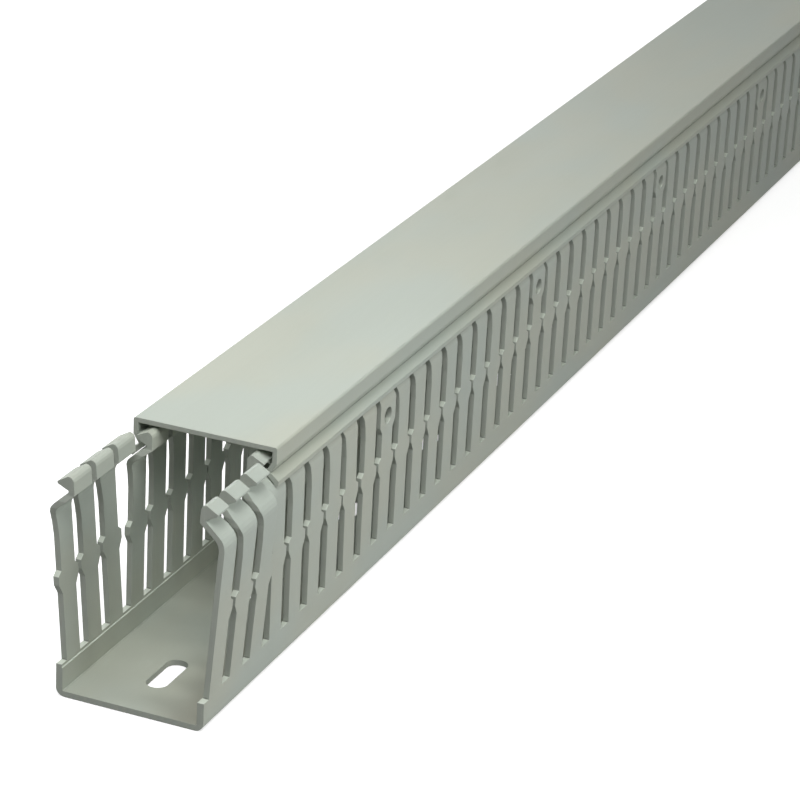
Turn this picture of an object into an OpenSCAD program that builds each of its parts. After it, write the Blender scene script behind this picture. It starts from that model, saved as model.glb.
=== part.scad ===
// Slotted wiring duct: a U-shaped base whose walls are cut into fingers, and its clip-on cover.
// X is across the duct, Y runs along it from the base's middle, Z is up from the mounting face.

/* [Duct] */
// Length of the duct and of its cover
duct_len = 1000; // [250:12.5:2000]
// Outside width of the duct
duct_w = 45; // [40:1:100]
// Height of the duct without its cover
duct_h = 65; // [60:1:100]
// Thickness of the duct's floor and walls
wall = 1.7; // [1.4:0.1:1.8]
// Outside radius of the long bottom corners
corner_r = 2.5; // [2:0.1:4]
// Extra thickness of the solid strip below the line where fingers break off
strip_extra = 0.3; // [0.2:0.1:0.6]

/* [Fingers] */
// Distance from one slot to the next
pitch = 12.5; // [11:0.5:16]
// Width of the slots between the fingers
slot_w = 5; // [4.5:0.1:6]
// Height of the slots' lower ends
slot_z = 9.7; // [7:0.1:14]
// Distance from the front end to the first finger
end_gap = 3.1; // [2:0.1:4.5]
// Outside radius of the bend in the fingers
bend_r = 5.2; // [4.5:0.1:6]
// Angle through which the fingers bend inwards
bend_turn = 52; // [48:1:55]
// Height of the recess that the cover clips into, below the top of the duct
neck_drop = 5.1; // [4.8:0.1:6]
// How far the recess lies inside the duct's outside face
neck_in = 5.7; // [5.4:0.1:6]
// How far the fingers' barbs lie inside the duct's outside face
barb_in = 3; // [2.7:0.1:3.2]
// How far the fingers' shoulders reach forward over the slots
shoulder_reach = 2.2; // [1.8:0.1:2.4]
// How far the fingers' heads reach forward over the slots
head_reach = 1.5; // [1.2:0.1:2]
// How far the right fingers' heads stand back at their rear edge
head_ease = 0.7; // [0.4:0.1:1]
// How far the left fingers' heads reach back over the slots
head_over = 0.9; // [0.5:0.1:1.2]
// How many fingers at the front end are free of the cover and lean outwards
free_fingers = 3; // [1:1:6]
// Angle at which the free fingers lean outwards
lean_angle = 4.25; // [1:0.25:6]
// Number of the finger that is bent forward, counting the first as 0
bent_finger = 7; // [4:1:8]
// How far that finger's top is bent forward
bent_by = 1.6; // [0.5:0.1:2]

/* [Wire retainers] */
// Height of the nibs' upper ends
nib_z = 35; // [30:0.5:38]
// How far each nib reaches into its slot
nib_out = 1.7; // [1:0.1:1.8]

/* [Holes] */
// Width of the mounting holes in the floor
hole_w = 6.4; // [5:0.1:8]
// Length of the mounting holes in the floor
hole_len = 18; // [12:0.5:20]
// Distance from the front end to the first mounting hole
hole_start = 22.7; // [15:0.1:30]
// Distance from one mounting hole to the next
hole_pitch = 62.5; // [50:12.5:125]
// Diameter of the holes in every tenth finger
eye_d = 5.2; // [4:0.1:5.5]
// Height of the holes in every tenth finger
eye_z = 48.7; // [48.3:0.1:49.2]

/* [Cover] */
// Thickness of the cover
cover_t = 1.4; // [1.2:0.1:1.6]
// How far the inside of the cover's sides lies inside the duct's outside face
side_in = 1.9; // [1.7:0.1:2.2]
// Clearance between the cover's skirts and the fingers' shoulders
skirt_gap = 0.4; // [0.3:0.05:0.6]
// Space between the fingers' tops and the cover's plate
head_room = 0.9; // [0.6:0.1:1.5]
// How far the cover is pushed back from the front end
cover_back = 42.2; // [41:0.1:44]

/* [Hidden] */
grey = [0.66, 0.68, 0.64];
half_w = duct_w / 2;
finger_w = pitch - slot_w;
neck_z = duct_h - neck_drop;
bend_in = bend_r * (1 - cos(bend_turn));
bend_z = neck_z - (neck_in - bend_in) / tan(bend_turn) - bend_r * sin(bend_turn);
strip_drop = 0.8;                  // the thicker strip ends this far below the slots
strip_z = slot_z - strip_drop;
strip_slope = 0.2;                 // height of the strip's sloping edge
recess_in = 0.5;                   // the recess is this much deeper than the shoulder's edge
recess_rise = 0.5;                 // and slopes in over this height
neck_h = 0.5;                      // height of the recess's straight back
barb_rise = 1.6;                   // the barb's underside rises by this much to its tip
barb_h = 0.5;                      // height of the barb's blunt edge
tip_ease = 0.3;                    // the barb's tip is rounded by this much
barb_z = neck_z + recess_rise + neck_h + barb_rise + tip_ease;
head_wall = 2.3;                   // thickness of the head behind the recess
head_r = 1.6;                      // radius of the head's upper inner edge
nib_rise = 1.2;                    // height of the nib's upper flank
nib_h = 2.6;                       // height of its blunt edge
nib_fall = 2.9;                    // height of its lower flank
reach_low = 6.5;                   // the fingers begin to reach forward this far below the bend
reach_high = 2.6;                  // and are fully forward this far above it
ease_low = 2;                      // the heads begin to stand back this far below the recess
pad = 1.8;                         // every tenth finger is wider by this much around its hole
pad_rise = 5;                      // from the pad's lower edge up to its hole
pad_ease = 2.6;                    // height of the pad's sloping lower edge
stroke_count = 10;                 // fingers cut by one stroke of the punch
end_drop = 1.1;                    // the right wall's front end is broken off this far below the slots
edge_r = 0.6;                      // radius of the cover's long upper edges
apex_drop = 0.7;                   // the cover's fold lies this far below the recess
knee_run = 3.3;                    // the skirt runs this far outwards from the fold
lip_turn = 30;                     // the skirt's lower edge, as an angle round the bend
lip_t = 0.5;                       // thickness of the skirt's lower edge
beyond = 10;                       // cutters run past the faces they cut

bend_x = half_w - bend_r;
head_in = neck_in + head_wall;

// Point at distance d outside the bend, at angle t round it
function round_bend(t, d = 0) = [bend_x + (bend_r + d) * cos(t), bend_z + (bend_r + d) * sin(t)];

// Points on a circle, from angle a to angle b
function arc(cx, cy, r, a, b, n = 6) =
    [for (i = [0:n]) let (t = a + (b - a) * i / n) [cx + r * cos(t), cy + r * sin(t)]];

// Unit normal to the left of the step from p to q
function left_of(p, q) = let (d = q - p) [-d[1], d[0]] / norm(d);

// Corner b of the path a-b-c, moved to the path's left by t with mitred corners
function mitre(a, b, c, t) =
    let (m = left_of(a, b), n = left_of(b, c)) b + t * (m + n) / (1 + m * n);

// Path parallel to p, at distance t to its left
function beside(p, t) = let (last = len(p) - 1) [
    for (i = [0:last])
        i == 0 ? p[0] + t * left_of(p[0], p[1])
      : i == last ? p[last] + t * left_of(p[last - 1], p[last])
      : mitre(p[i - 1], p[i], p[i + 1], t)
];

function reversed(p) = [for (i = [len(p) - 1:-1:0]) p[i]];

// Path p seen in a mirror at X = 0, running the other way
function mirrored(p) = [for (q = reversed(p)) [-q[0], q[1]]];

// Point p turned outwards about the foot of the right wall's outside face
function leaned(p, a) = let (v = p - [half_w, slot_z])
    [half_w, slot_z] + [v[0] * cos(a) + v[1] * sin(a), v[1] * cos(a) - v[0] * sin(a)];

// Right wall above the slots' lower ends, from its outside foot up, over the head and down inside
function finger_profile() =
    let (inner = round_bend(bend_turn, -wall),
         inner_neck = inner[1] + (inner[0] - half_w + head_in) / tan(bend_turn),
         tip = half_w - barb_in)
    concat(
        [[half_w, slot_z]],
        arc(bend_x, bend_z, bend_r, 0, bend_turn, 4),
        [[half_w - neck_in, neck_z],
         [half_w - neck_in - recess_in, neck_z + recess_rise],
         [half_w - neck_in - recess_in, neck_z + recess_rise + neck_h],
         [tip - tip_ease, barb_z - tip_ease],
         [tip, barb_z],
         [tip, barb_z + barb_h]],
        arc(half_w - head_in + head_r, duct_h - head_r, head_r, 90, 180, 3),
        [[half_w - head_in, inner_neck]],
        arc(bend_x, bend_z, bend_r - wall, bend_turn, 0, 3),
        [[half_w - wall, slot_z]]
    );

// Floor and the solid strips beside it, up to the slots' lower ends
function tray_profile() = concat(
    arc(half_w - corner_r, corner_r, corner_r, -90, 0),
    [[half_w, slot_z],
     [half_w - wall, slot_z],
     [half_w - wall, strip_z],
     [half_w - wall - strip_extra, strip_z - strip_slope]],
    arc(half_w - wall - 2 * strip_extra, wall + strip_extra, strip_extra, 0, -90, 3)
);

// Prism along the duct from y = a to y = b
module along(a, b) translate([0, b, 0]) rotate([90, 0, 0]) linear_extrude(b - a) children();

module from_middle() translate([0, -duct_len / 2, 0]) children();

module both_sides() {
    children();
    mirror([1, 0, 0]) children();
}

function slot_y(k) = end_gap + k * pitch - slot_w;

// Shift of finger j along the duct at height z
function bend(j, z) = j == bent_finger ? bent_by * (slot_z - z) / (duct_h - slot_z) : 0;

// Slot k's edge on the finger in front of it, from the top down, for heads that reach back by head_back
function front_edge(k, head_back) =
    let (before = k % stroke_count == 0 ? pad : 0,
         pad_z = eye_z - pad_rise)
    [
        [head_back, duct_h + beyond],
        [head_back, neck_z],
        [0, neck_z - ease_low],
        [before, bend_z],
        [before, pad_z + pad_ease],
        [0, pad_z],
        [0, nib_z + nib_rise],
        [nib_out, nib_z],
        [nib_out, nib_z - nib_h],
        [0, nib_z - nib_h - nib_fall],
        [0, slot_z]
    ];

// Slot k's edge on the finger behind it, from the bottom up
function rear_edge(k) =
    let (after = k % stroke_count == stroke_count - 1 ? pad : 0,
         pad_z = eye_z - pad_rise)
    [
        [slot_w, slot_z],
        [slot_w, nib_z - nib_h - nib_fall],
        [slot_w - nib_out, nib_z - nib_h],
        [slot_w - nib_out, nib_z],
        [slot_w, nib_z + nib_rise],
        [slot_w, pad_z],
        [slot_w - after, pad_z + pad_ease],
        [slot_w - after, bend_z - reach_low],
        [slot_w - max(after, shoulder_reach / 4), bend_z - reach_low / 3],
        [slot_w - max(after, shoulder_reach / 2), bend_z],
        [slot_w - shoulder_reach, bend_z + reach_high],
        [slot_w - shoulder_reach, neck_z - ease_low],
        [slot_w - head_reach, neck_z],
        [slot_w - head_reach, duct_h + beyond]
    ];

// Outline of slot k seen from the side. The first and the last slot run out through the duct's ends
function slot_outline(k, head_back) =
    let (top = duct_h + beyond,
         at_end = duct_len - slot_y(k) - slot_w < finger_w / 2)
    concat(
        at_end ? [[slot_w + beyond, slot_z], [slot_w + beyond, top]]
               : [for (p = rear_edge(k)) p + [bend(k, p[1]), 0]],
        k == 0 ? [[-beyond, top], [-beyond, slot_z]]
               : [for (p = front_edge(k, head_back)) p + [bend(k - 1, p[1]), 0]]
    );

module slot(k) for (side = [-1, 1])
    translate([side < 0 ? -half_w - beyond : 0, slot_y(k), 0])
        rotate([90, 0, 90]) linear_extrude(half_w + beyond)
            polygon(slot_outline(k, side < 0 ? head_over : -head_ease));

module mounting_hole() {
    run = (hole_len - hole_w) / 2;
    deep = wall + 2 * beyond;
    for (s = [-1, 1]) translate([0, s * run, -beyond]) cylinder(h = deep, d = hole_w, $fn = 32);
    translate([-hole_w / 2, -run, -beyond]) cube([hole_w, 2 * run, deep]);
}

module duct_base() color(grey) from_middle() {
    free_end = slot_y(free_fingers) + (nib_out + slot_w - shoulder_reach) / 2;
    slots = floor((duct_len - end_gap + slot_w) / pitch);
    difference() {
        union() {
            along(0, duct_len) polygon(concat(tray_profile(), mirrored(tray_profile())));
            both_sides() {
                along(free_end, duct_len) polygon(finger_profile());
                along(0, free_end)
                    polygon([for (p = finger_profile()) p[1] > slot_z ? leaned(p, lean_angle) : p]);
            }
        }
        for (k = [0:slots]) slot(k);
        translate([half_w / 2, -beyond, slot_z - end_drop]) cube([duct_w, beyond + end_gap, duct_h]);
        for (y = [hole_start:hole_pitch:duct_len - hole_len / 2 - wall])
            translate([0, y, 0]) mounting_hole();
        for (k = [stroke_count:stroke_count:slots])
            translate([-half_w - beyond, slot_y(k) - finger_w / 2, eye_z])
                rotate([0, 90, 0]) cylinder(h = duct_w + 2 * beyond, d = eye_d, $fn = 24);
    }
}

// Inside face of the cover's right half, from the corner of its plate down to its skirt
function cover_inside() =
    let (side_x = half_w - side_in,
         apex_z = neck_z - apex_drop,
         apex_x = half_w - neck_in + apex_drop * tan(bend_turn) + skirt_gap / cos(bend_turn))
    [
        [side_x, duct_h + head_room],
        [side_x, barb_z],
        [apex_x, apex_z],
        round_bend(bend_turn, skirt_gap),
        round_bend(lip_turn, skirt_gap)
    ];

// Outside face of the cover's right half, given the offset of its inside face
function cover_outside(offset) =
    let (corner = offset[0] - [edge_r, edge_r],
         knee = offset[2] + knee_run * [sin(bend_turn), -cos(bend_turn)])
    concat(
        arc(corner[0], corner[1], edge_r, 90, 0, 3),
        [offset[1], offset[2], knee, round_bend(lip_turn, skirt_gap + lip_t)]
    );

module cover() color(grey) from_middle() {
    half = cover_inside();
    inside = concat(mirrored(half), half);
    offset = beside(inside, cover_t);
    outer_half = cover_outside([for (i = [len(half):len(offset) - 1]) offset[i]]);
    outside = concat(mirrored(outer_half), outer_half);
    along(cover_back, cover_back + duct_len) polygon(concat(outside, reversed(inside)));
}

duct_base();
cover();
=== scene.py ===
"""Slotted wiring duct with its clip-on cover: PVC finishes, floor, light and camera."""

import math

import bmesh
import bpy
from mathutils import Matrix, Vector


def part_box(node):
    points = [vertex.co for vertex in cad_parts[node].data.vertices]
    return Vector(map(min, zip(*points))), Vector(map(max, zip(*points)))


bl_info = {
    "name": "Slotted wiring duct",
    "version": (1, 0, 0),
    "blender": (4, 5, 0),
    "location": "View3D > Sidebar > Duct",
    "description": "Finishes a slotted wiring duct and its cover, and sets the floor, light and camera",
    "category": "Object",
}

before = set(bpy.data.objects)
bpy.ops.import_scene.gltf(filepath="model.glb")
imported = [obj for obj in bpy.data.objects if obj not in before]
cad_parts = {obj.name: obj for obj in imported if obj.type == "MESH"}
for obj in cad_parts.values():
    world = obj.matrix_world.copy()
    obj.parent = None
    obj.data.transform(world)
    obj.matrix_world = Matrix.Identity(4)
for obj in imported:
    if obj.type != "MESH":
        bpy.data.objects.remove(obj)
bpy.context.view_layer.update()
BASE_LOW, BASE_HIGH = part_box("duct_base")


# ---------------------------------------------------------------- shader maths


class Val:
    """A socket of a node tree, so that shader maths reads as arithmetic."""

    def __init__(self, finish, socket):
        self.finish = finish
        self.socket = socket

    def maths(self, operation, *values):
        return self.finish.node("ShaderNodeMath", {"operation": operation}, list(values))

    def __add__(self, other):
        return self.maths("ADD", self, other)

    __radd__ = __add__

    def __rsub__(self, other):
        return self.maths("SUBTRACT", other, self)

    def __mul__(self, other):
        return self.maths("MULTIPLY", self, other)

    __rmul__ = __mul__

    def __abs__(self):
        return self.maths("ABSOLUTE", self)

    def step(self, low, high):
        """0 below low, 1 above high, smooth between them."""
        settings = {"interpolation_type": "SMOOTHSTEP"}
        values = {"Value": self, "From Min": low, "From Max": high}
        return self.finish.node("ShaderNodeMapRange", settings, values)


class Finish:
    """A node tree under construction, for a material or a world."""

    def __init__(self, owner, output="ShaderNodeOutputMaterial"):
        owner.use_nodes = True
        self.owner = owner
        self.tree = owner.node_tree
        self.tree.nodes.clear()
        self.output = self.tree.nodes.new(output)

    def node(self, kind, settings, values, result=0):
        """Adds a node, sets it up, fills its sockets and gives back one of its outputs."""
        node = self.tree.nodes.new(kind)
        for key, value in settings.items():
            setattr(node, key, value)
        pairs = values.items() if isinstance(values, dict) else enumerate(values)
        for key, value in pairs:
            if isinstance(value, Val):
                self.tree.links.new(value.socket, node.inputs[key])
            else:
                node.inputs[key].default_value = value
        return Val(self, node.outputs[result])

    def place(self):
        """Where a point of the surface lies, in metres."""
        return self.node("ShaderNodeTexCoord", {}, {}, "Object")

    def facing(self):
        """Which way the surface faces."""
        return self.node("ShaderNodeTexCoord", {}, {}, "Normal")

    def part(self, vector, axis):
        """One component of a vector."""
        return self.node("ShaderNodeSeparateXYZ", {}, [vector], axis)

    def noise(self, scale, detail, rough, offset):
        """Noise in cycles a metre along X, Y and Z."""
        values = {"Vector": self.place(), "Scale": scale, "Location": offset}
        along = self.node("ShaderNodeMapping", {}, values)
        values = {"Vector": along, "Scale": 1.0, "Detail": detail, "Roughness": rough}
        return self.node("ShaderNodeTexNoise", {"noise_dimensions": "3D"}, values, "Fac")

    def mix(self, factor, first, second):
        """A colour that turns from first to second."""
        return self.node("ShaderNodeMix", {"data_type": "RGBA"}, {0: factor, 6: first, 7: second}, 2)

    def bump(self, height, distance, strength, normal):
        """A normal tilted by a height in metres."""
        values = {"Strength": strength, "Distance": distance, "Height": height, "Normal": normal}
        return self.node("ShaderNodeBump", {}, values)

    def seen(self):
        """1 for what the camera, a mirror or a glass sees, 0 for all other light."""
        rays = ("Is Camera Ray", "Is Glossy Ray", "Is Transmission Ray")
        return sum(self.node("ShaderNodeLightPath", {}, {}, ray) for ray in rays)

    def close(self, shader):
        """Ends the tree with one shader."""
        self.tree.links.new(shader.socket, self.output.inputs["Surface"])
        return self.owner


def grey(level):
    return (level, level, level, 1.0)


def toned(colour, factor):
    """A colour made paler or darker."""
    return (colour[0] * factor, colour[1] * factor, colour[2] * factor, 1.0)


def tinted(colour, warmth):
    """A colour made warmer, or cooler with a negative warmth."""
    return (colour[0] * (1 + warmth), colour[1], colour[2] * (1 - warmth), 1.0)


# ---------------------------------------------------------------- PVC

# Pattern scales, in cycles a metre along X, Y and Z: the die lines run along the duct.
STREAKS = (1300.0, 3.0, 1300.0)
CLOUDS = (45.0, 9.0, 45.0)
TINTS = (30.0, 14.0, 30.0)
SCUFFS = (160.0, 60.0, 160.0)
SAW_MARKS = (900.0, 900.0, 90.0)
GRAIN = (4200.0, 4200.0, 4200.0)
# Relief heights and edge sizes, in metres.
STREAK_DEPTH = 0.00004
SAW_DEPTH = 0.00006
GRAIN_DEPTH = 0.000015
EDGE_RADIUS = 0.00025
# How far the painted shade in hollows looks for nearby surfaces, in metres.
PAINTED_SHADE_REACH = 0.0016
# Rigid PVC's refraction and its weak shine.
PVC_IOR = 1.5
PVC_SHINE = 0.2
# Where the punch has cut, which bounds the painted highlight: a wall and its outward lean, and the
# heights from slot feet to heads.
WALL_AND_LEAN = 0.0055
PUNCHED_FROM = BASE_HIGH.x - WALL_AND_LEAN
SLOT_FOOT = 0.006
HEADS_FROM = 0.052
EDGE_BLUR = 0.001
# The painted shadow, tinted brown, on the channel's floor along the right wall.
PAINTED_SHADOW_COLOUR = (0.30, 0.275, 0.215, 1.0)
PAINTED_SHADOW_ACROSS = (-0.004, 0.018)
PAINTED_SHADOW_ALONG = (BASE_LOW.y + 0.05, BASE_LOW.y + 0.16)
PAINTED_SHADOW_UP = (0.002, 0.006)


def between(value, low, high, blur):
    """1 between low and high, 0 outside them."""
    return value.step(low - blur, low) * (1 - value.step(high, high + blur))


def painted_top_highlight(f, up):
    """Painted highlight: slot feet and nib tops, which face up inside a wall, made paler as light from
    above falls on them.
    """
    on_wall = abs(f.part(f.place(), "X")).step(PUNCHED_FROM - EDGE_BLUR, PUNCHED_FROM)
    height = between(f.part(f.place(), "Z"), SLOT_FOOT, HEADS_FROM, EDGE_BLUR)
    return up * on_wall * height


def channel_painted_shadow(f, up, clouds):
    """Painted shadow, tinted brown, along the foot of the right wall near the open end, where the wall
    shades the channel's floor.
    """
    low = 1 - f.part(f.place(), "Z").step(*PAINTED_SHADOW_UP)
    side = f.part(f.place(), "X").step(*PAINTED_SHADOW_ACROSS)
    end = 1 - f.part(f.place(), "Y").step(*PAINTED_SHADOW_ALONG)
    return up * low * side * end * (clouds * 0.7 + 0.3)


def extruded_pvc(name, colour, cut_colour, offset):
    """Matt rigid PVC with die lines along Y, clouding, dull scuffs and rough cut faces, with a painted
    highlight on up-facing slot feet and nib tops, a painted shadow tinted brown on the channel's floor
    and painted shade in hollows.
    """
    f = Finish(bpy.data.materials.new(name))
    streaks = f.noise(STREAKS, 2.0, 0.6, offset)
    clouds = f.noise(CLOUDS, 3.0, 0.5, offset)
    tints = f.noise(TINTS, 2.0, 0.5, offset).step(0.35, 0.65)
    scuffs = f.noise(SCUFFS, 4.0, 0.65, offset).step(0.56, 0.74)
    grain = f.noise(GRAIN, 1.0, 0.5, offset)
    marks = f.noise(SAW_MARKS, 2.0, 0.6, offset)
    cut = abs(f.part(f.facing(), "Y")).step(0.45, 0.85)
    up = f.part(f.facing(), "Z").step(0.3, 0.8)
    settings = {"samples": 16, "only_local": True}
    # Ambient occlusion, used below for the painted shade in hollows.
    open_air = f.node("ShaderNodeAmbientOcclusion", settings, {"Distance": PAINTED_SHADE_REACH}, "AO")
    tone = f.mix(tints, tinted(colour, -0.03), tinted(colour, 0.035))
    tone = f.mix(clouds * 0.4, tone, toned(colour, 0.92))
    tone = f.mix(streaks * 0.3, tone, toned(colour, 0.9))
    tone = f.mix(scuffs * 0.25, tone, toned(colour, 1.12))
    tone = f.mix(cut, tone, f.mix(marks, toned(cut_colour, 0.93), toned(cut_colour, 1.07)))
    # Painted highlight on the up-facing slot feet and nib tops.
    tone = f.mix(painted_top_highlight(f, up) * 0.85, tone, toned(colour, 1.45))
    # Painted shadow, tinted brown, on the channel's floor beside the right wall.
    tone = f.mix(channel_painted_shadow(f, up, clouds) * 0.75, tone, PAINTED_SHADOW_COLOUR)
    # Painted shade: grooves, recesses and concave corners darkened where the ambient occlusion finds
    # nearby surfaces.
    tone = f.mix((1 - open_air).step(0.28, 0.58) * 0.85, tone, toned(colour, 0.22))
    rough = 0.5 + clouds * 0.08 + scuffs * 0.08 + cut * 0.15
    rounded = f.node("ShaderNodeBevel", {"samples": 4}, {"Radius": EDGE_RADIUS})
    relief = f.bump(streaks * (1 - cut), STREAK_DEPTH, 0.5, rounded)
    relief = f.bump(marks * cut, SAW_DEPTH, 0.5, relief)
    relief = f.bump(grain, GRAIN_DEPTH, 0.4, relief)
    values = {
        "Base Color": tone,
        "Roughness": rough,
        "Normal": relief,
        "IOR": PVC_IOR,
        "Specular IOR Level": PVC_SHINE,
    }
    return f.close(f.node("ShaderNodeBsdfPrincipled", {}, values))


# ---------------------------------------------------------------- sizes a user would change


class DuctFinish(bpy.types.PropertyGroup):
    base_colour: bpy.props.FloatVectorProperty(
        name="Base colour", description="Colour of the base's PVC", subtype="COLOR",
        size=3, min=0.0, max=1.0, default=(0.46, 0.50, 0.435),
    )
    cover_colour: bpy.props.FloatVectorProperty(
        name="Cover colour", description="Colour of the cover's PVC", subtype="COLOR",
        size=3, min=0.0, max=1.0, default=(0.455, 0.495, 0.425),
    )
    cut_colour: bpy.props.FloatVectorProperty(
        name="Cut colour", description="Colour of punched and sawn faces", subtype="COLOR",
        size=3, min=0.0, max=1.0, default=(0.40, 0.43, 0.38),
    )


class DuctStage(bpy.types.PropertyGroup):
    floor_reach: bpy.props.FloatProperty(
        name="Floor", description="Half the floor's side", unit="LENGTH", default=9.0, min=2.0
    )
    lamp_level: bpy.props.FloatProperty(
        name="Lamp level", description="Factor on the power of all lamps", default=1.0, min=0.0
    )
    sky_level: bpy.props.FloatProperty(
        name="Sky level", description="Brightness of the surroundings", default=0.12, min=0.0
    )


# ---------------------------------------------------------------- operators


class DUCT_OT_base(bpy.types.Operator):
    """Gives the fingered base its PVC finish"""

    bl_idname = "duct.finish_base"
    bl_label = "Finish the base"

    def execute(self, context):
        props = context.scene.duct_finish
        pvc = extruded_pvc("base_pvc", props.base_colour, props.cut_colour, (0.0, 0.0, 0.0))
        dress("duct_base", pvc)
        return {"FINISHED"}


class DUCT_OT_cover(bpy.types.Operator):
    """Gives the cover its PVC finish"""

    bl_idname = "duct.finish_cover"
    bl_label = "Finish the cover"

    def execute(self, context):
        props = context.scene.duct_finish
        pvc = extruded_pvc("cover_pvc", props.cover_colour, props.cut_colour, (3.1, 0.7, 5.3))
        dress("cover", pvc)
        return {"FINISHED"}


class DUCT_OT_stage(bpy.types.Operator):
    """Sets the floor, the soft light and the camera"""

    bl_idname = "duct.set_stage"
    bl_label = "Set the stage"

    def execute(self, context):
        props = context.scene.duct_stage
        make_floor(context, props.floor_reach)
        make_sky(context, props.sky_level)
        for name, place, size, power in LAMPS:
            make_lamp(context, name, place, size, power * props.lamp_level)
        make_camera(context)
        context.scene.view_settings.view_transform = "Standard"
        return {"FINISHED"}


def dress(node, material):
    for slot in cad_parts[node].material_slots:
        slot.material = material


# ---------------------------------------------------------------- stage

FLOOR_DROP = 0.0002
FLOOR_WHITE = 0.93
FLOOR_SHADE = 0.3
FLOOR_ROUGH = 0.9
# The floor's own glow: weak at the duct's front end, full white this far away.
GLOW_NEAR = 0.55
GLOW_REACH = (0.2, 1.3)
FRONT = (0.0, BASE_LOW.y + 0.05, 0.0)
LAMP_AIM = Vector((0.0, -0.3, 0.03))
# Name, place, diameter in metres and power in watts.
LAMPS = (
    ("over_front", (0.15, -0.8, 0.6), 0.35, 2.3),
    ("over_mouth", (0.0, -0.45, 0.4), 0.18, 0.33),
    ("right_side", (0.5, -0.5, 0.3), 0.27, 1.35),
    ("left_fill", (-1.0, -0.3, 0.35), 0.6, 4.5),
    ("back_fill", (-0.9, 1.3, 0.7), 0.9, 7.5),
)


def floor_white():
    """White to the camera, with the shadow kept near the duct, and a plain grey to all other light."""
    f = Finish(bpy.data.materials.new("floor_white"))
    away = f.node("ShaderNodeVectorMath", {"operation": "DISTANCE"}, [f.place(), FRONT], "Value")
    glow = f.mix(away.step(*GLOW_REACH), grey(GLOW_NEAR), grey(1.0))
    values = {
        "Base Color": grey(FLOOR_WHITE),
        "Roughness": FLOOR_ROUGH,
        "Emission Color": glow,
        "Emission Strength": 1.0,
    }
    white = f.node("ShaderNodeBsdfPrincipled", {}, values)
    values = {"Base Color": grey(FLOOR_SHADE), "Roughness": FLOOR_ROUGH}
    plain = f.node("ShaderNodeBsdfPrincipled", {}, values)
    return f.close(f.node("ShaderNodeMixShader", {}, [f.seen(), plain, white]))


def make_floor(context, reach):
    mesh = bpy.data.meshes.new("floor")
    shape = bmesh.new()
    bmesh.ops.create_grid(shape, x_segments=1, y_segments=1, size=reach)
    bmesh.ops.translate(shape, verts=shape.verts, vec=(0.0, 0.0, -FLOOR_DROP))
    shape.to_mesh(mesh)
    shape.free()
    floor = bpy.data.objects.new("floor", mesh)
    floor.data.materials.append(floor_white())
    context.scene.collection.objects.link(floor)


def make_sky(context, level):
    """White to the camera, and dim as a light."""
    f = Finish(bpy.data.worlds.new("studio"), "ShaderNodeOutputWorld")
    dim = f.node("ShaderNodeBackground", {}, {"Color": grey(1.0), "Strength": level})
    white = f.node("ShaderNodeBackground", {}, {"Color": grey(1.0), "Strength": 1.0})
    context.scene.world = f.close(f.node("ShaderNodeMixShader", {}, [f.seen(), dim, white]))


def make_lamp(context, name, place, size, power):
    lamp = bpy.data.lights.new(name, "AREA")
    lamp.shape = "DISK"
    lamp.size = size
    lamp.energy = power
    obj = bpy.data.objects.new(name, lamp)
    obj.location = place
    obj.rotation_euler = (LAMP_AIM - Vector(place)).to_track_quat("-Z", "Y").to_euler()
    obj.visible_camera = False
    context.scene.collection.objects.link(obj)


CAMERA_PLACE = Vector((0.343964, -1.166291, 0.407529))
CAMERA_AZIMUTH = math.radians(22.035)
CAMERA_DIP = math.radians(22.622)
CAMERA_ROLL = math.radians(3.121)
SENSOR = 36.0
LENS = 140.2965
FAR_CLIP = 50.0


def make_camera(context):
    data = bpy.data.cameras.new("camera")
    data.sensor_width = SENSOR
    data.lens = LENS
    data.clip_end = FAR_CLIP
    camera = bpy.data.objects.new("camera", data)
    turn = (
        Matrix.Rotation(CAMERA_AZIMUTH, 4, "Z")
        @ Matrix.Rotation(math.pi / 2 - CAMERA_DIP, 4, "X")
        @ Matrix.Rotation(CAMERA_ROLL, 4, "Z")
    )
    camera.matrix_world = Matrix.Translation(CAMERA_PLACE) @ turn
    context.scene.collection.objects.link(camera)
    context.scene.camera = camera


class DUCT_PT_panel(bpy.types.Panel):
    """Lists the steps that finish the duct"""

    bl_label = "Slotted wiring duct"
    bl_idname = "DUCT_PT_panel"
    bl_space_type = "VIEW_3D"
    bl_region_type = "UI"
    bl_category = "Duct"

    def draw(self, context):
        layout = self.layout
        for group in (context.scene.duct_finish, context.scene.duct_stage):
            for name in group.__annotations__:
                layout.prop(group, name)
        for step in STEPS:
            layout.operator(step.bl_idname)


STEPS = (DUCT_OT_base, DUCT_OT_cover, DUCT_OT_stage)
CLASSES = (DuctFinish, DuctStage, *STEPS, DUCT_PT_panel)


def register():
    for item in CLASSES:
        bpy.utils.register_class(item)
    bpy.types.Scene.duct_finish = bpy.props.PointerProperty(type=DuctFinish)
    bpy.types.Scene.duct_stage = bpy.props.PointerProperty(type=DuctStage)


def unregister():
    del bpy.types.Scene.duct_stage
    del bpy.types.Scene.duct_finish
    for item in reversed(CLASSES):
        bpy.utils.unregister_class(item)


def main():
    register()
    bpy.ops.duct.finish_base()
    bpy.ops.duct.finish_cover()
    bpy.ops.duct.set_stage()


if __name__ == "__main__":
    main()
